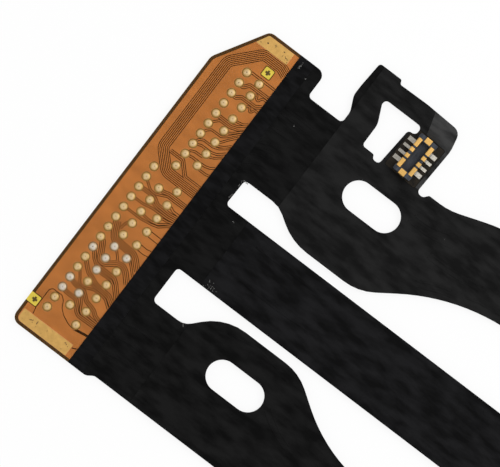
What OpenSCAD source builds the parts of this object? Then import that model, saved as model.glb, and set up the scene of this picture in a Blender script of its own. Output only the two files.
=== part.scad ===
// Flat flex cable: a bond end with probe pads, a small plug on a side tab and three tails.
// Origin: middle of the bond edge, on the underside of the base film.
// +X runs along the tails, +Y up the bond edge, +Z out of the side that carries the pads.

/* [Bond end] */
// Length of the bond edge bar, along Y
bond_len = 18.36; // [17:0.02:20]
// Width of the bond edge bar, along X
bar_w = 4.84; // [4.6:0.02:5.4]
// Width of the amber window beside the bond edge
window_w = 3.4; // [3.3:0.02:3.6]
// Width of the first black film strip beside the window
band_w = 0.84; // [0.4:0.02:1.1]
// Cut corner of the bar, measured along X
chamfer_x = 1.57; // [1:0.01:1.7]
// Cut corner of the bar, measured along Y
chamfer_y = 2.64; // [2:0.02:3]
// Bare border between the outline and the copper
edge_margin = 0.16; // [0.1:0.01:0.2]
// Length of the underside bond contacts, along X
bond_contact_len = 1.2; // [0.8:0.05:1.4]
// Width of one underside bond contact
bond_contact_w = 0.14; // [0.08:0.01:0.2]
// Pitch of the underside bond contacts
bond_pitch = 0.28; // [0.24:0.01:0.4]
// How far the row of bond contacts stops short of the bar's ends
bond_row_inset = 2.9; // [2.8:0.1:4]

/* [Probe pads] */
// Diameter of a probe pad
pad_d = 0.4; // [0.3:0.01:0.42]
// Height of a probe pad's dome above the copper
pad_h = 0.07; // [0.05:0.01:0.12]
// Diameter of the film opening round a probe pad
pad_opening_d = 0.5; // [0.46:0.01:0.52]
// Distance of the first pad column from the bond edge
column_a_x = 1.02; // [0.98:0.01:1.06]
// Distance of the second pad column from the bond edge
column_b_x = 1.83; // [1.78:0.01:1.88]
// Distance of the third pad column from the bond edge
column_c_x = 2.64; // [2.58:0.01:2.7]

/* [Traces] */
// Width of a fine trace
trace_w = 0.046; // [0.036:0.001:0.048]
// Gap between a trace and the copper beside it
trace_gap = 0.04; // [0.03:0.001:0.042]

/* [Tails] */
// Distance from the bond edge to the tails' ends
tail_end_x = 27; // [26:0.5:40]
// Width of the upper tail
upper_tail_w = 3.84; // [3.5:0.02:4.2]
// Width of the middle tail
middle_tail_w = 3.78; // [3.5:0.02:3.9]
// Width of the lower tail
lower_tail_w = 3.61; // [3.5:0.02:3.62]
// Distance of the middle tail's centre line below the bar's middle
middle_drop = 0.54; // [0.5:0.02:0.58]
// Corner radius at the tails' ends
tail_end_r = 0.5; // [0.2:0.05:1]
// Length of the bare contact zone at a tail's end
end_contact_len = 1.6; // [1:0.1:2]
// Pitch of the contacts at a tail's end
end_pitch = 0.4; // [0.3:0.05:0.6]
// Width of one contact at a tail's end
end_contact_w = 0.22; // [0.12:0.01:0.25]

/* [Gaps and slots] */
// Height of the upper gap at the bar
upper_gap_h = 1.47; // [1.3:0.01:1.6]
// Height of the upper gap at its waist
upper_gap_waist = 0.49; // [0.4:0.01:0.6]
// Height of the gap between the upper and middle tails
upper_tail_gap = 3.41; // [3:0.01:3.42]
// Height of the lower gap at the bar
lower_gap_h = 1.99; // [1.8:0.01:2.2]
// Height of the lower gap at its waist
lower_gap_waist = 0.5; // [0.4:0.01:0.6]
// Height of the gap between the middle and lower tails
lower_tail_gap = 2.9; // [2.6:0.01:3]
// Length of a slot from end to end
slot_len = 3.12; // [2.4:0.02:3.4]
// Width of a slot
slot_w = 1.58; // [1:0.02:1.7]
// Distance of both slots from the bond edge
slot_x = 10.43; // [10:0.01:11]
// Distance of the upper slot above the bar's middle
upper_slot_y = 5.47; // [5.2:0.01:5.7]
// Distance of the lower slot below the bar's middle
lower_slot_y = 5.27; // [5.1:0.01:5.5]

/* [Side tab] */
// Distance from the bond edge to the tab's neck
tab_x = 6.88; // [6.8:0.01:6.96]
// Step from the top of the bar down to the notch beside it
notch_drop = 1.38; // [1.3:0.01:1.5]
// Height of the tab above the notch
tab_h = 3.35; // [3.3:0.01:3.6]

/* [Plug] */
// Height of the plug's housing
plug_h = 0.55; // [0.4:0.01:0.8]
// Width over the long walls of the plug
plug_w = 0.88; // [0.84:0.01:0.94]
// Length of the plug over its end blocks
plug_len = 2.14; // [2.06:0.01:2.2]
// Width over the end blocks of the plug
plug_end_w = 1.02; // [0.96:0.01:1.1]
// Width of the hollow between the plug's long walls
plug_hollow_w = 0.54; // [0.4:0.01:0.58]
// Floor thickness of the plug
plug_floor = 0.15; // [0.1:0.01:0.2]
// Thickness of the plug's contact metal
contact_t = 0.03; // [0.02:0.005:0.04]
// Contact pitch along the plug
plug_pitch = 0.37; // [0.35:0.01:0.38]
// Angle by which the plug sits askew
plug_tilt = 3; // [0:0.5:4]

/* [Layers] */
// Thickness of the base film
base_t = 0.06; // [0.04:0.005:0.1]
// Thickness of the copper
copper_t = 0.02; // [0.01:0.005:0.03]
// Thickness of the amber cover film over the copper
amber_t = 0.025; // [0.02:0.005:0.04]
// Thickness of the black cover film
black_t = 0.04; // [0.03:0.005:0.06]
// Thickness of a shield film
shield_t = 0.025; // [0.015:0.005:0.04]
// Thickness of the underside film
back_t = 0.03; // [0.02:0.005:0.05]
// Thickness of the gold plating and of the contacts
gold_t = 0.015; // [0.01:0.005:0.02]
// Thickness of the stiffeners
stiffener_t = 0.15; // [0.1:0.01:0.3]

/* [Hidden] */
$fn = 48;
tiny = 0.000001;
// a corner with a smaller radius is left sharp
sharp_r = 0.001;
// a cut runs this far past what it cuts
past = 1;

// Levels
copper_z = base_t;
amber_z = base_t + copper_t;
black_top = base_t + black_t;
shield_top = black_top + shield_t;
back_z = -back_t;
mask_t = 0.01;
plug_z = black_top + mask_t;

// Places along Y
half_bar = bond_len / 2;
middle_top = middle_tail_w / 2 - middle_drop;
middle_low = -middle_tail_w / 2 - middle_drop;
upper_low = middle_top + upper_tail_gap;
upper_top = upper_low + upper_tail_w;
lower_top = middle_low - lower_tail_gap;
lower_low = lower_top - lower_tail_w;
notch_y = half_bar - notch_drop;
body_top = notch_y - 0.25;

// Places along X
tails_x = 20;
contact_x = tail_end_x - end_contact_len;
// the stiffener reaches this far past the bare contact zone
stiffener_reach = 1.4;
stiffener_x = contact_x - stiffener_reach;
end_margin = 0.12;

// ---------- outlines made of corners [x, y, radius] ----------

function unit(v) = v / norm(v);
function xy(p) = [p[0], p[1]];
// position i of a closed list
function at(list, i) = list[(i + len(list)) % len(list)];
function bend(a, b, c) = acos(max(-1, min(1, unit(xy(a) - xy(b)) * unit(xy(c) - xy(b)))));
// how far a corner's arc reaches along its two sides
function reach(a, b, c) = b[2] / tan(bend(a, b, c) / 2) + tiny;
// the same, shared with the next corner where the side between them is too short
function shared(own, other, side) = min(own, side * own / (own + other));
function arc_steps(turn, r) = max(1, ceil(turn / 20), ceil(turn * PI / 180 * r / 0.5));
function corner_arc(a, b, c, t) =
    let (
        p = xy(b),
        u = unit(xy(a) - p),
        v = unit(xy(c) - p),
        half = bend(a, b, c) / 2,
        r = t * tan(half),
        centre = p + unit(u + v) * r / sin(half),
        start = p + u * t - centre,
        turn = 180 - 2 * half,
        way = cross(u, v) > 0 ? -1 : 1,
        n = arc_steps(turn, r)
    )
    r < sharp_r ? [p] : [for (i = [0:n]) let (w = way * turn * i / n)
        centre + [start[0] * cos(w) - start[1] * sin(w), start[0] * sin(w) + start[1] * cos(w)]];

// closed outline with its corners rounded
function rounded(c) =
    let (
        n = len(c),
        t = [for (i = [0:n - 1]) reach(at(c, i - 1), c[i], at(c, i + 1))],
        side = [for (i = [0:n - 1]) norm(xy(at(c, i + 1)) - xy(c[i]))]
    )
    [for (i = [0:n - 1]) each corner_arc(at(c, i - 1), c[i], at(c, i + 1),
        min(shared(t[i], at(t, i - 1), at(side, i - 1)), shared(t[i], at(t, i + 1), side[i])))];

function box_corners(w, l, r) = [[-w / 2, -l / 2, r], [w / 2, -l / 2, r], [w / 2, l / 2, r], [-w / 2, l / 2, r]];

// open route with its inner corners rounded by r
function eased(route, r) =
    let (
        n = len(route),
        c = [for (p = route) [p[0], p[1], r]],
        t = [for (i = [0:n - 1]) i == 0 || i == n - 1 ? 0 : reach(c[i - 1], c[i], c[i + 1])],
        side = [for (i = [0:n - 2]) norm(xy(c[i + 1]) - xy(c[i]))]
    )
    [for (i = [0:n - 1]) each i == 0 || i == n - 1 ? [route[i]]
        : corner_arc(c[i - 1], c[i], c[i + 1],
            min(shared(t[i], t[i - 1], side[i - 1]), shared(t[i], t[i + 1], side[i])))];

function left_of(a, b) = let (u = unit(b - a)) [-u[1], u[0]];
function mitre(m, n) = (m + n) / (1 + m * n);
// route moved sideways by d, to its left
function beside(route, d) = [for (i = [0:len(route) - 1])
    let (
        into = left_of(route[max(i - 1, 0)], route[max(i, 1)]),
        out = left_of(route[min(i, len(route) - 2)], route[min(i + 1, len(route) - 1)])
    )
    route[i] + mitre(into, out) * d];
// closed outline moved inwards by d
function inset(loop, d) = [for (i = [0:len(loop) - 1])
    loop[i] + mitre(left_of(at(loop, i - 1), loop[i]), left_of(loop[i], at(loop, i + 1))) * d];
function reversed(list) = [for (i = [len(list) - 1:-1:0]) list[i]];

module ribbon(route, width, side = 0) {
    polygon(concat(beside(route, side + width / 2), reversed(beside(route, side - width / 2))));
}

module layer(z, t) {
    translate([0, 0, z]) linear_extrude(t) children();
}

// ---------- the film's outline ----------

BAR = [
    [0, -half_bar, 0.42],
    [bar_w, -half_bar, 0.4],
    [bar_w, half_bar, 0.4],
    [chamfer_x, half_bar, 0.38],
    [0, half_bar - chamfer_y, 0.57]
];

// the tab's corners are given from the foot of its neck
TAB_FOOT = [tab_x, notch_y];
TAB = [
    [5.22, -0.5, 0.22], [4.84, -0.5, 0.22],
    [4.95, tab_h - 1.3, 1], [4.74, tab_h - 0.29, 0.45],
    [2.7, tab_h - 0.19, 3], [1.12, tab_h - 0.22, 0.12],
    [1.02, tab_h, 0.1], [-0.26, tab_h, 0.16],
    [-0.35, 1.95, 2], [-0.35, 1.4, 0.6], [0, 0.65, 0.6], [0, 0, 0.2]
];
TAB_WINDOW = [
    [1, tab_h - 1.21, 0.2], [0.99, tab_h - 1.5, 0.15], [1.41, 0.95, 0.8],
    [1.42, -0.27, 0.17], [2.12, -0.28, 0.1], [2.22, -0.5, 0.18], [2.58, -0.5, 0.18],
    [2.74, tab_h - 1.73, 0.18], [3.16, tab_h - 1.7, 0.22], [3.16, tab_h - 1.21, 0.2]
];
function from_foot(list) = [for (c = list) [TAB_FOOT[0] + c[0], TAB_FOOT[1] + c[1], c[2]]];

OUTER = concat([
    BAR[0],
    [bar_w - 0.38, -half_bar, 0.35],
    [bar_w - 0.03, lower_low, 0.3],
    [tails_x, lower_low, 0],
    [tails_x, upper_top, 0],
    [16.5, upper_top, 8.5],
    [13.45, body_top, 3.3],
    [12.3, body_top, 0.12]
], from_foot(TAB), [
    [bar_w, notch_y, 0.22],
    BAR[2],
    BAR[3],
    BAR[4]
]);

UPPER_GAP = [
    [bar_w, middle_top, 0.2],
    [tails_x + past, middle_top, 0],
    [tails_x + past, upper_low, 0],
    [16.6, upper_low, 10.5],
    [12.35, middle_top + upper_gap_waist, 2.7],
    [8.4, middle_top + upper_gap_waist, 3],
    [6.92, middle_top + upper_gap_h, 1.4],
    [bar_w + 0.04, middle_top + upper_gap_h, 0.2]
];
LOWER_GAP = [
    [bar_w, middle_low - lower_gap_h, 0.24],
    [6.74, middle_low - lower_gap_h, 0.85],
    [8.1, middle_low - lower_gap_waist, 2.7],
    [12.5, middle_low - lower_gap_waist, 2.6],
    [16, lower_top, 8],
    [tails_x + past, lower_top, 0],
    [tails_x + past, middle_low, 0],
    [bar_w, middle_low, 0.2]
];

module slot(x, y) {
    reach_x = (slot_len - slot_w) / 2;
    translate([x - reach_x, y]) circle(d = slot_w);
    translate([x + reach_x, y]) circle(d = slot_w);
    translate([x - reach_x, y - slot_w / 2]) square([2 * reach_x, slot_w]);
}

module tail_strip(low, top) {
    polygon(rounded([
        [tails_x - past, low, 0], [tail_end_x, low, tail_end_r],
        [tail_end_x, top, tail_end_r], [tails_x - past, top, 0]
    ]));
}

module film_outline() {
    difference() {
        polygon(rounded(OUTER));
        polygon(rounded(UPPER_GAP));
        polygon(rounded(LOWER_GAP));
        polygon(rounded(from_foot(TAB_WINDOW)));
        slot(slot_x, upper_slot_y);
        slot(slot_x, -lower_slot_y);
    }
    tail_strip(upper_low, upper_top);
    tail_strip(middle_low, middle_top);
    tail_strip(lower_low, lower_top);
}

// the plan between two x values, to cut the outline with
far_y = 15;
module between(x0, x1, y0 = -far_y, y1 = far_y) {
    translate([x0, y0]) square([x1 - x0, y1 - y0]);
}

// ---------- probe pads ----------

// each row: column x, y of the first pad, step down to the next
PAD_ROWS = [
    [column_a_x, 0.724, 0.6],
    [column_b_x, 6.96, 0.607],
    [column_b_x, 1.39, 0.6],
    [column_b_x, 0.032, 0.698],
    [column_c_x, 6.862, 0.694],
    [column_c_x, 0.412, 0.795]
];
PAD_COUNTS = [15, 9, 1, 11, 8, 11];
// tinned pads, each as [row, place in the row]
BRIGHT = [[0, 8], [0, 11], [0, 12], [3, 5], [3, 6], [3, 7], [3, 9], [5, 5]];

function pad(row, i) = [PAD_ROWS[row][0], PAD_ROWS[row][1] - PAD_ROWS[row][2] * i];
function is_bright(row, i) = len([for (b = BRIGHT) if (b == [row, i]) b]) > 0;
ALL_PADS = [for (row = [0:len(PAD_ROWS) - 1]) for (i = [0:PAD_COUNTS[row] - 1]) [row, i]];

// one pad: plating that fills the film's opening, a low dome, and a probe's small mark at its middle
dimple_r = 0.035;
dimple_depth = 0.015;
flange_t = 0.012;
flange_gap = 0.01;
module probe_pad() {
    rim_h = pad_h * 0.35;
    flange_r = pad_opening_d / 2 - flange_gap;
    rotate_extrude() polygon(concat(
        [[0, 0], [flange_r, 0], [flange_r, flange_t], [pad_d / 2, flange_t]],
        [for (a = [0:15:75]) [
            dimple_r + (pad_d / 2 - dimple_r) * cos(a),
            rim_h + (pad_h - rim_h) * sin(a)
        ]],
        [[dimple_r, pad_h], [0, pad_h - dimple_depth]]
    ));
}

module pads(bright) {
    for (k = ALL_PADS) if (is_bright(k[0], k[1]) == bright)
        translate(concat(pad(k[0], k[1]), amber_z)) probe_pad();
}

// ---------- copper traces in the window ----------

// each group: count of traces, width of one, easing radius, route from its pad to the window's side
exit_x = window_w;
TRACES = [
    // the bundle round the pads, and its branch
    [6, trace_w, 0.45, [[exit_x, 7.98], [3, 8.14], [1.98, 8.14], [0.785, 6.84], [0.785, 1.74],
        [1.64, 0.88], [exit_x, 0.88]]],
    [2, trace_w, 0.15, [[1.19, 1.8], [1.93, 1.8], [2.5, 1.2], [exit_x, 1.2]]],
    // upper fans
    [1, 0.06, 0.1, [pad(1, 0), [2.02, 7.09], [exit_x, 7.09]]],
    [2, trace_w, 0.1, [pad(1, 1), [2.1, 6.28], [2.32, 6.56], [exit_x, 6.57]]],
    [1, trace_w, 0.04, [pad(4, 1), [2.86, 6.42], [2.97, 6.22], [3.07, 6.18], [3.15, 6.34],
        [3.22, 6.42], [exit_x, 6.42]]],
    [2, trace_w, 0.1, [pad(1, 2), [2.12, 5.68], [2.34, 5.87], [3.14, 5.88], [exit_x, 6.06]]],
    [1, trace_w, 0.04, [pad(4, 2), [2.88, 5.72], [2.98, 5.7], [3.06, 5.53], [3.14, 5.58],
        [3.22, 5.74], [exit_x, 5.74]]],
    [1, trace_w, 0.1, [pad(4, 3), [2.95, 4.81], [3.2, 4.87], [exit_x, 5.02]]],
    [2, trace_w, 0.1, [pad(1, 4), [2.05, 4.5], [2.75, 4.49], [3.1, 4.62], [exit_x, 4.88]]],
    [1, trace_w, 0.1, [pad(1, 5), [2, 4.16], [2.2, 4.36], [2.78, 4.37], [3.12, 4.49], [exit_x, 4.73]]],
    [1, trace_w, 0.1, [pad(4, 4), [2.9, 4.14], [3.1, 4.3], [exit_x, 4.59]]],
    [1, trace_w, 0.1, [pad(1, 6), [1.97, 3.62], [2.14, 3.77], [2.72, 3.78], [2.95, 3.95],
        [3.16, 4.2], [exit_x, 4.45]]],
    [1, trace_w, 0.1, [pad(4, 5), [2.86, 3.56], [3.07, 3.84], [exit_x, 4.24]]],
    [1, 0.05, 0.1, [pad(4, 5), [2.8, 3.28], [3.14, 3.47], [exit_x, 3.72]]],
    [1, trace_w, 0.1, [pad(1, 7), [1.93, 3.03], [2.14, 3.15], [2.7, 3.15], [2.98, 3.25], [exit_x, 3.58]]],
    [1, 0.05, 0.1, [pad(1, 7), [2.2, 2.88], [2.8, 2.9], [3.06, 2.98], [exit_x, 3.28]]],
    [1, trace_w, 0.1, [pad(4, 6), [2.88, 2.67], [3.06, 2.76], [exit_x, 3.04]]],
    [1, 0.05, 0.1, [pad(1, 8), [1.95, 2.37], [2.16, 2.46], [2.6, 2.47]]],
    [1, 0.05, 0.1, [pad(1, 8), [2.2, 2.17], [2.95, 2.18], [3.2, 2.26], [exit_x, 2.41]]],
    [1, 0.05, 0.1, [pad(4, 7), [2.86, 1.89], [3.2, 1.89], [exit_x, 1.94]]],
    // lower fans
    [1, trace_w, 0.1, [pad(0, 1), [1.25, -0.06], [1.56, -0.27], [1.83, -0.3], [2.08, -0.2],
        [2.4, -0.04], [exit_x, -0.03]]],
    [2, trace_w, 0.1, [pad(3, 0), [2.12, 0.02], [2.4, 0.1], [exit_x, 0.1]]],
    [2, trace_w, 0.1, [pad(0, 2), [1.3, -0.42], [1.84, -0.42], [2.04, -0.5], [2.24, -0.64],
        [3, -0.66], [exit_x, -0.6]]],
    [1, trace_w, 0.1, [pad(3, 1), [2.1, -0.72], [2.34, -0.79], [2.95, -0.8], [exit_x, -0.74]]],
    [1, trace_w, 0.1, [pad(0, 3), [1.26, -1.02], [1.7, -1.01], [2.2, -0.91], [3, -0.89], [exit_x, -0.83]]],
    [1, 0.07, 0.1, [pad(5, 1), [2.87, -0.36], [3.05, -0.45], [exit_x, -0.46]]],
    [1, trace_w, 0.1, [pad(5, 2), [2.88, -1.02], [3.12, -1], [exit_x, -0.92]]],
    [1, trace_w, 0.1, [pad(0, 4), [1.25, -1.64], [2, -1.65], [2.6, -1.56], [2.92, -1.47],
        [3.15, -1.28], [exit_x, -1.09]]],
    [1, trace_w, 0.1, [pad(3, 2), [2.1, -1.44], [2.5, -1.46], [2.84, -1.38], [3.06, -1.2],
        [exit_x, -1]]],
    [1, 0.25, 0, [pad(5, 3), [exit_x, -1.99]]],
    [1, 0.26, 0.1, [pad(5, 4), [3.15, -2.79], [exit_x, -2.74]]],
    [4, trace_w, 0.25, [[1.2, -2.4], [1.42, -2.88], [1.62, -3.16], [2.72, -3.22], [2.96, -3.35],
        [exit_x, -3.8]]],
    [1, trace_w, 0.1, [pad(3, 3), [1.6, -2.2], [1.52, -2.6]]],
    [1, trace_w, 0.1, [pad(5, 5), [2.86, -3.6], [3.02, -3.72], [exit_x, -4.1]]],
    [1, trace_w, 0.1, [pad(3, 5), [2.05, -3.56], [2.26, -3.78], [2.36, -3.94]]],
    [3, trace_w, 0.2, [pad(0, 7), [1.25, -3.6], [1.5, -4.05], [1.62, -4.36], [1.84, -4.42],
        [2.04, -4.34], [2.44, -4.02], [2.74, -3.97], [2.98, -4.1], [exit_x, -4.55]]],
    [2, trace_w, 0.15, [pad(0, 8), [1.22, -4.22], [1.42, -4.47], [1.64, -4.62], [1.9, -4.65],
        [2.75, -4.68], [2.98, -4.84], [exit_x, -5.3]]],
    [1, trace_w, 0.1, [pad(3, 7), [2.1, -4.87], [2.7, -4.85], [2.92, -4.97], [exit_x, -5.48]]],
    [2, trace_w, 0.1, [pad(0, 9), [1.2, -4.82], [1.4, -5.02], [1.62, -5.2], [1.92, -5.28],
        [2.22, -5.42], [2.5, -5.45], [3.05, -5.48], [exit_x, -5.7]]],
    [1, trace_w, 0.1, [pad(0, 10), [1.22, -5.36], [1.42, -5.62], [1.58, -5.86], [1.82, -5.89],
        [2.06, -5.8], [2.3, -5.69], [2.7, -5.67], [3, -5.73], [exit_x, -6.02]]],
    [1, trace_w, 0.1, [pad(3, 8), [2.1, -5.57], [2.7, -5.58], [3.06, -5.63], [exit_x, -5.86]]],
    [2, trace_w, 0.15, [pad(0, 11), [1.25, -5.96], [1.5, -6.02], [1.95, -6.02], [2.16, -6.18],
        [2.36, -6.35], [2.68, -6.42], [2.92, -6.5], [3.12, -6.66], [exit_x, -6.75]]],
    [1, trace_w, 0.15, [pad(3, 9), [2.1, -6.4], [2.26, -6.64], [2.36, -6.86], [2.55, -6.98],
        [exit_x, -6.97]]],
    [1, trace_w, 0.1, [pad(5, 9), [2.9, -6.86], [exit_x, -6.88]]],
    [2, trace_w, 0.15, [pad(0, 12), [1.3, -6.56], [1.9, -6.56], [2.12, -6.76], [2.26, -7],
        [2.45, -7.12], [exit_x, -7.1]]]
];
// dark lines with no trace in them: width and route
GROOVES = [
    [0.04, 0.15, [[0.68, -8.35], [0.6, -8], [0.6, -6.98], [0.72, -6.82], [1.27, -6.82],
        [1.46, -6.98], [1.62, -7.3], [1.9, -7.54], [2.3, -7.72], [2.7, -7.8], [exit_x, -7.68]]],
    [0.1, 0.1, [[2.75, -7.72], [exit_x, -7.63]]],
    [0.05, 0.1, [[3.14, -8.54], [exit_x, -8.42]]]
];

function step_of(g) = g[1] + trace_gap;

module trace_corridor(g) {
    ribbon(eased(g[3], g[2]), g[0] * step_of(g) + trace_gap);
}

module trace_lines(g) {
    for (i = [0:g[0] - 1]) ribbon(eased(g[3], g[2]), g[1], (i - (g[0] - 1) / 2) * step_of(g));
}

// ---------- lands and fiducials ----------

land_w = 0.62;
land_end_x = 3.1;
land_margin = 0.17;
land_gap = 0.02;

function upper_land() =
    let (top = half_bar - land_margin, low = top - land_w)
    [[1.29, low, 0.03], [land_end_x, low, 0.03], [land_end_x, top, 0.03], [1.63, top, 0.12]];
function lower_land() =
    let (low = -half_bar + land_margin, top = low + land_w)
    [[0.22, low, 0.24], [land_end_x, low, 0.03], [land_end_x, top, 0.03], [0.22, top, 0.03]];

// each fiducial: centre of its window, size of the window, centre of its cross
fiducial_size = 0.48;
FIDUCIALS = [
    [[2.643, 7.54], [fiducial_size, fiducial_size], [2.643, 7.54]],
    [[0.285, -7.76], [0.57, fiducial_size + 0.02], [0.333, -7.75]]
];
fiducial_r = 0.05;
fiducial_gap = 0.04;
cross_len = 0.26;
cross_w = 0.1;

module fiducial_squares(grow) {
    for (f = FIDUCIALS) translate(f[0])
        polygon(rounded(box_corners(f[1][0] + grow, f[1][1] + grow, fiducial_r + grow / 2)));
}

// ---------- films of the window ----------

module copper_area() {
    intersection() {
        polygon(inset(rounded(BAR), edge_margin));
        between(0, window_w);
    }
}

module base_film() {
    color("#6b3d1c") layer(0, base_t) film_outline();
}

// the bare strip between the bond contacts and the underside film
back_gap = 0.4;
module back_film() {
    color("#1b1b1b") layer(back_z, back_t) intersection() {
        film_outline();
        between(bond_contact_len + back_gap, tail_end_x + past);
    }
}

// etching leaves no sliver of copper thinner than this
etch_limit = 0.012;
module etched() {
    offset(delta = etch_limit / 2) offset(delta = -etch_limit / 2) children();
}

module bond_copper() {
    color("#b87333") layer(copper_z, copper_t) etched() difference() {
        copper_area();
        for (g = TRACES) trace_corridor(g);
        for (g = GROOVES) ribbon(eased(g[2], g[1]), g[0]);
        fiducial_squares(2 * fiducial_gap);
    }
}

module bond_traces() {
    color("#b87333") layer(copper_z, copper_t) etched() intersection() {
        union() for (g = TRACES) trace_lines(g);
        between(0, window_w);
    }
}

module bond_coverlay() {
    color("#a8651f", 0.6) difference() {
        layer(copper_z, copper_t + amber_t) intersection() {
            film_outline();
            between(-past, window_w);
        }
        layer(copper_z - past, past + copper_t) copper_area();
        layer(copper_z - past, 2 * past) {
            for (k = ALL_PADS) translate(pad(k[0], k[1])) circle(d = pad_opening_d);
            polygon(inset(rounded(upper_land()), -land_gap));
            polygon(inset(rounded(lower_land()), -land_gap));
            fiducial_squares(0);
        }
    }
}

// contacts start this far in from the film's edge or from their cover film
contact_inset = 0.05;
module bond_contacts() {
    count = floor((half_bar - bond_row_inset) / bond_pitch);
    color("gold") layer(-gold_t, gold_t)
        for (i = [-count:count]) translate([contact_inset, i * bond_pitch - bond_contact_w / 2])
            square([bond_contact_len, bond_contact_w]);
}

module ground_land_upper() {
    color("#d8b56a") layer(amber_z, gold_t) polygon(rounded(upper_land()));
}

module ground_land_lower() {
    color("#d8b56a") layer(amber_z, gold_t) polygon(rounded(lower_land()));
}

module fiducial_windows() {
    color("#e3c93a") layer(copper_z, copper_t) intersection() {
        fiducial_squares(0);
        film_outline();
    }
}

module fiducial_crosses() {
    color("#3a3410") layer(amber_z, gold_t) for (f = FIDUCIALS) translate(f[2]) {
        square([cross_len, cross_w], center = true);
        square([cross_w, cross_len], center = true);
    }
}

module probe_pads() {
    color("#e2cf9d") pads(false);
}

module probe_pads_bright() {
    color("#dcdad6") pads(true);
}

// ---------- black films ----------

shield_x = 6.9;
middle_shield_x = 6.2;
shield_margin = 0.3;

// the tab's end, where a duller film lies in place of the shield
TAB_COVER = [
    [3.12, tab_h + 0.2, 0], [3.5, tab_h - 1.1, 0.2], [3.7, tab_h - 1.9, 0],
    [3.7, -0.33, 0], [5.5, -0.33, 0], [5.5, tab_h + 0.2, 0]
];
module tab_cover_area() {
    intersection() {
        film_outline();
        polygon(rounded(from_foot(TAB_COVER)));
    }
}

PLUG_AT = TAB_FOOT + [3.76, 0.79];
mask_w = 1.84;
mask_len = 2.3;
mask_gap = 0.02;

module mask_area(gap) {
    intersection() {
        film_outline();
        translate(PLUG_AT) rotate(-plug_tilt)
            polygon(inset(rounded(box_corners(mask_w, mask_len, 0.1)), -gap));
    }
}

module black_coverlay() {
    color("#1d1d1d") layer(base_t, black_t) intersection() {
        film_outline();
        between(window_w, contact_x);
    }
}

module neck_band() {
    color("#14151b") layer(black_top, shield_t) intersection() {
        film_outline();
        between(window_w, window_w + band_w);
    }
}

// a ground patch under the shield shows as a low plateau at the film's edge
plateau_t = 0.01;
plateau_d = 0.5;
module plateau(x0, x1, edge, side) {
    polygon(rounded([
        [x0, edge, 0], [x1, edge, 0],
        [x1, edge + side * plateau_d, 0.2], [x0, edge + side * plateau_d, 0.2]
    ]));
}

// the x span of each patch
TOP_PATCHES = [[11.8, 13.95], [14.55, 15.75], [16.6, 17.95], [18.5, 19.65], [20.55, 22.2]];
LOW_PATCHES = [[7.5, 9.2], [11.85, 13.95], [14.6, 15.9], [16.6, 17.85], [18.6, 19.8], [20.65, 22.3]];
BOTTOM_PATCHES = [[7.35, 9.25], [11.9, 14]];

module shield_area(x0, y0, y1) {
    difference() {
        intersection() {
            film_outline();
            between(x0, contact_x - shield_margin, y0, y1);
        }
        tab_cover_area();
        mask_area(mask_gap);
    }
}

module shield_upper() {
    color("#1c1c1c") layer(black_top, shield_t) shield_area(shield_x, middle_top + tiny, far_y);
}

module shield_middle() {
    color("#15161a") {
        layer(black_top, shield_t) shield_area(middle_shield_x, middle_low, middle_top);
        layer(shield_top, plateau_t) {
            for (p = TOP_PATCHES) plateau(p[0], p[1], middle_top, -1);
            for (p = LOW_PATCHES) plateau(p[0], p[1], middle_low, 1);
        }
    }
}

module shield_lower() {
    color("#1c1c1c") {
        layer(black_top, shield_t) shield_area(shield_x, -far_y, middle_low - tiny);
        layer(shield_top, plateau_t) for (p = BOTTOM_PATCHES) plateau(p[0], p[1], lower_low, 1);
    }
}

module tab_cover() {
    color("#3c3c3c") layer(black_top, shield_t) difference() {
        tab_cover_area();
        mask_area(mask_gap);
    }
}

module tab_solder_mask() {
    color("#2b2418") layer(black_top, mask_t) mask_area(0);
}

// ---------- stiffeners and tail ends ----------

module stiffener() {
    layer(back_z - stiffener_t, stiffener_t) children();
}

TAB_STIFFENER = [[2.86, 0.1, 0.25], [4.76, 0.1, 0.25], [4.76, 3, 0.25], [2.86, 3, 0.25]];
module tab_stiffener() {
    color("#8f8f8f") stiffener() intersection() {
        polygon(rounded(from_foot(TAB_STIFFENER)));
        film_outline();
    }
}

module end_stiffener(low, top) {
    edge = end_margin / 2;
    color("#8a5a24") stiffener() polygon(rounded([
        [stiffener_x, low + edge, 0.3], [tail_end_x - edge, low + edge, tail_end_r],
        [tail_end_x - edge, top - edge, tail_end_r], [stiffener_x, top - edge, 0.3]
    ]));
}

module end_contacts(low, top) {
    count = floor(((top - low) / 2 - tail_end_r) / end_pitch);
    color("gold") layer(base_t, gold_t) for (i = [-count:count])
        translate([contact_x + contact_inset, (low + top) / 2 + i * end_pitch - end_contact_w / 2])
            square([end_contact_len - contact_inset - 2 * end_margin, end_contact_w]);
}

module end_contacts_upper() { end_contacts(upper_low, upper_top); }
module end_contacts_middle() { end_contacts(middle_low, middle_top); }
module end_contacts_lower() { end_contacts(lower_low, lower_top); }
module end_stiffener_upper() { end_stiffener(upper_low, upper_top); }
module end_stiffener_middle() { end_stiffener(middle_low, middle_top); }
module end_stiffener_lower() { end_stiffener(lower_low, lower_top); }

// ---------- the plug on the tab ----------

end_block = 0.29;
foot_end = 0.7;
hollow_len = plug_len - 2 * end_block;
power_len = 0.45;
signal_len = 0.2;
power_y = 0.62;
nail_w = 0.33;

module on_tab() {
    translate(concat(PLUG_AT, plug_z)) rotate(-plug_tilt) children();
}

module plug_housing() {
    color("#2b3038") on_tab() difference() {
        linear_extrude(plug_h) {
            square([plug_w, hollow_len], center = true);
            for (s = [-1, 1]) translate([0, s * (plug_len - end_block) / 2])
                polygon(rounded(box_corners(plug_end_w, end_block, 0.06)));
        }
        translate([0, 0, plug_floor]) linear_extrude(plug_h)
            polygon(rounded(box_corners(plug_hollow_w, hollow_len, 0.05)));
        // the power contacts reach into pockets of the end blocks
        power_heads();
    }
}

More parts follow.
